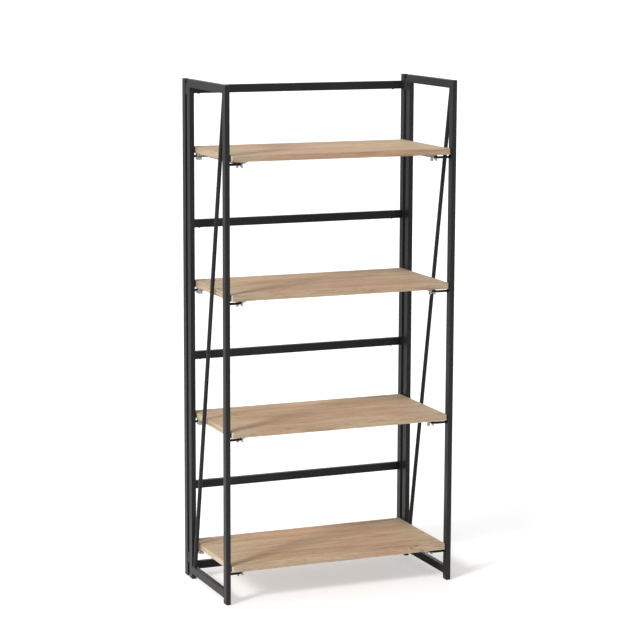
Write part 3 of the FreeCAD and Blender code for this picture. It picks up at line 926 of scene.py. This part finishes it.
FLOOR_HALF = 120.0
FLOOR_DROP = 0.3 * MM
PAPER_WHITE = 0.97             # of the floor round the bookcase, as it lights it
FLOOR_GREY = 0.5               # of the floor further off
PAPER_REACH = 0.7
PAPER_END = 5.0
FLOOR_SHOWN = 0.68             # share of the shown floor that keeps shadows
FLOOR_GLOW = 0.46              # share that stays white in them, close to the bookcase
FAR_GLOW = 0.58                # and away from it
GLOW_REACH = 0.34
GLOW_END = 0.62


def seen_directly(tree, in_reflections):
    """1 where the camera or clear plastic sees the surface, and a reflection if asked."""
    path = tree.nodes.new("ShaderNodeLightPath")
    seen = maths(tree, "ADD", path.outputs["Is Camera Ray"],
                 path.outputs["Is Transmission Ray"], clamp=True)
    if in_reflections:
        seen = maths(tree, "ADD", seen, path.outputs["Is Glossy Ray"], clamp=True)
    return seen


def floor_paper():
    """White paper that shows the bookcase's shadow softened and is clear from below."""
    material, tree, shader = new_finish("pale floor", Specular_IOR_Level=0.0, Roughness=1.0)
    off_middle = place(tree, "VectorMath", {0: piece_place(tree)},
                       operation="LENGTH").outputs["Value"]
    tone = remap(tree, off_middle, PAPER_REACH, PAPER_END, PAPER_WHITE, FLOOR_GREY)
    tree.links.new(grey(tree, tone), shader.inputs["Base Color"])
    shown = place(tree, "BsdfDiffuse",
                  {"Color": colour(FLOOR_SHOWN, FLOOR_SHOWN, FLOOR_SHOWN)})
    glow_tone = remap(tree, off_middle, GLOW_REACH, GLOW_END, FLOOR_GLOW, FAR_GLOW)
    glow = place(tree, "Emission", {"Color": grey(tree, glow_tone), "Strength": 1.0})
    both = place(tree, "AddShader", {0: shown.outputs[0], 1: glow.outputs[0]})
    paper = place(tree, "MixShader", {0: seen_directly(tree, False), 1: shader.outputs[0],
                                      2: both.outputs[0]})
    from_below = tree.nodes.new("ShaderNodeNewGeometry").outputs["Backfacing"]
    clear = tree.nodes.new("ShaderNodeBsdfTransparent")
    surface = place(tree, "MixShader", {0: from_below, 1: paper.outputs[0],
                                        2: clear.outputs[0]})
    tree.links.new(surface.outputs[0], tree.nodes["Material Output"].inputs["Surface"])
    return material


def lay_floor():
    builder = bmesh.new()
    bmesh.ops.create_grid(builder, x_segments=1, y_segments=1, size=FLOOR_HALF)
    mesh = bpy.data.meshes.new("floor")
    builder.to_mesh(mesh)
    builder.free()
    mesh.materials.append(floor_paper())
    floor = into_scene("floor", mesh)
    floor.location.z = -FLOOR_DROP


# ---------------------------------------------------------------- light

ROOM_FILL = 0.45
ROOM_LEFT = 0.5                # added toward the left
ROOM_RIGHT = 0.1               # taken off toward the right
ROOM_BACK = 0.3                # added toward the back
ROOM_FRONT = 0.2               # taken off toward the front
ROOM_CEILING = 0.12            # taken off overhead

KEY_FROM_LEFT = 62.0           # degrees to the left of straight in front
KEY_HEIGHT = 34.0              # degrees above the horizon
KEY_STRENGTH = 2.4
KEY_SPREAD = 14.0              # degrees, how soft its shadows are

TOP_FROM_LEFT = 135.0
TOP_HEIGHT = 70.0
TOP_STRENGTH = 0.4
TOP_SPREAD = 35.0


def light_room():
    """White room: seen as white, and as a soft fill that is stronger from left and back."""
    world = bpy.data.worlds.new("studio")
    bpy.context.scene.world = world
    world.use_nodes = True
    tree = world.node_tree
    tree.nodes.clear()
    heading = tree.nodes.new("ShaderNodeTexCoord").outputs["Generated"]
    parts = place(tree, "SeparateXYZ", {0: heading}).outputs
    fill = ROOM_FILL
    for axis, full, change in (("X", -1.0, ROOM_LEFT), ("X", 1.0, -ROOM_RIGHT),
                               ("Y", 1.0, ROOM_BACK), ("Y", -1.0, -ROOM_FRONT),
                               ("Z", 1.0, -ROOM_CEILING)):
        fill = maths(tree, "ADD", fill, remap(tree, parts[axis], 0.0, full, 0.0, change))
    seen = place(tree, "Background", {"Color": colour(1, 1, 1), "Strength": 1.0})
    soft = place(tree, "Background", {"Color": colour(1, 1, 1), "Strength": fill})
    either = place(tree, "MixShader", {0: seen_directly(tree, True), 1: soft.outputs[0],
                                       2: seen.outputs[0]})
    output = tree.nodes.new("ShaderNodeOutputWorld")
    tree.links.new(either.outputs[0], output.inputs["Surface"])


def hang_light(name, strength, spread_angle, from_left, height):
    """Even light from one direction, in degrees. Its spread softens its shadows."""
    lamp = bpy.data.lights.new(name, "SUN")
    lamp.energy = strength
    lamp.angle = math.radians(spread_angle)
    turn = math.radians(from_left)
    rise = math.radians(height)
    travel = Vector((math.sin(turn) * math.cos(rise), math.cos(turn) * math.cos(rise),
                     -math.sin(rise)))
    light = into_scene(name, lamp)
    light.rotation_mode = "QUATERNION"
    light.rotation_quaternion = travel.to_track_quat("-Z", "Y")


# ---------------------------------------------------------------- camera

CAMERA_PLACE = Vector((-2.1155, -5.0400, 1.5719))
CAMERA_TURN = 22.815           # degrees, toward +X from straight ahead
CAMERA_TILT = -9.508           # degrees
CAMERA_ROLL = 0.239            # degrees
FOCAL_PIXELS = 2240.6
IMAGE_PIXELS = 640
SENSOR_MM = 36.0
FARTHEST_SEEN = 400.0


def set_camera():
    """Long lens from the front left, a little above the top board."""
    turn = math.radians(CAMERA_TURN)
    tilt = math.radians(CAMERA_TILT)
    roll = math.radians(CAMERA_ROLL)
    ahead = Vector((math.sin(turn) * math.cos(tilt), math.cos(turn) * math.cos(tilt),
                    math.sin(tilt)))
    level = ahead.cross(UPRIGHT).normalized()
    above = level.cross(ahead)
    right = level * math.cos(roll) + above * math.sin(roll)
    up = above * math.cos(roll) - level * math.sin(roll)
    lens = bpy.data.cameras.new("camera")
    lens.sensor_width = SENSOR_MM
    lens.lens = FOCAL_PIXELS / IMAGE_PIXELS * SENSOR_MM
    lens.clip_end = FARTHEST_SEEN
    camera = into_scene("camera", lens)
    facing = Matrix((right, up, -ahead)).transposed().to_4x4()
    camera.matrix_world = Matrix.Translation(CAMERA_PLACE) @ facing
    bpy.context.scene.camera = camera


lay_floor()
light_room()
hang_light("key", KEY_STRENGTH, KEY_SPREAD, KEY_FROM_LEFT, KEY_HEIGHT)
hang_light("top", TOP_STRENGTH, TOP_SPREAD, TOP_FROM_LEFT, TOP_HEIGHT)
set_camera()
bpy.context.scene.view_settings.view_transform = "Standard"
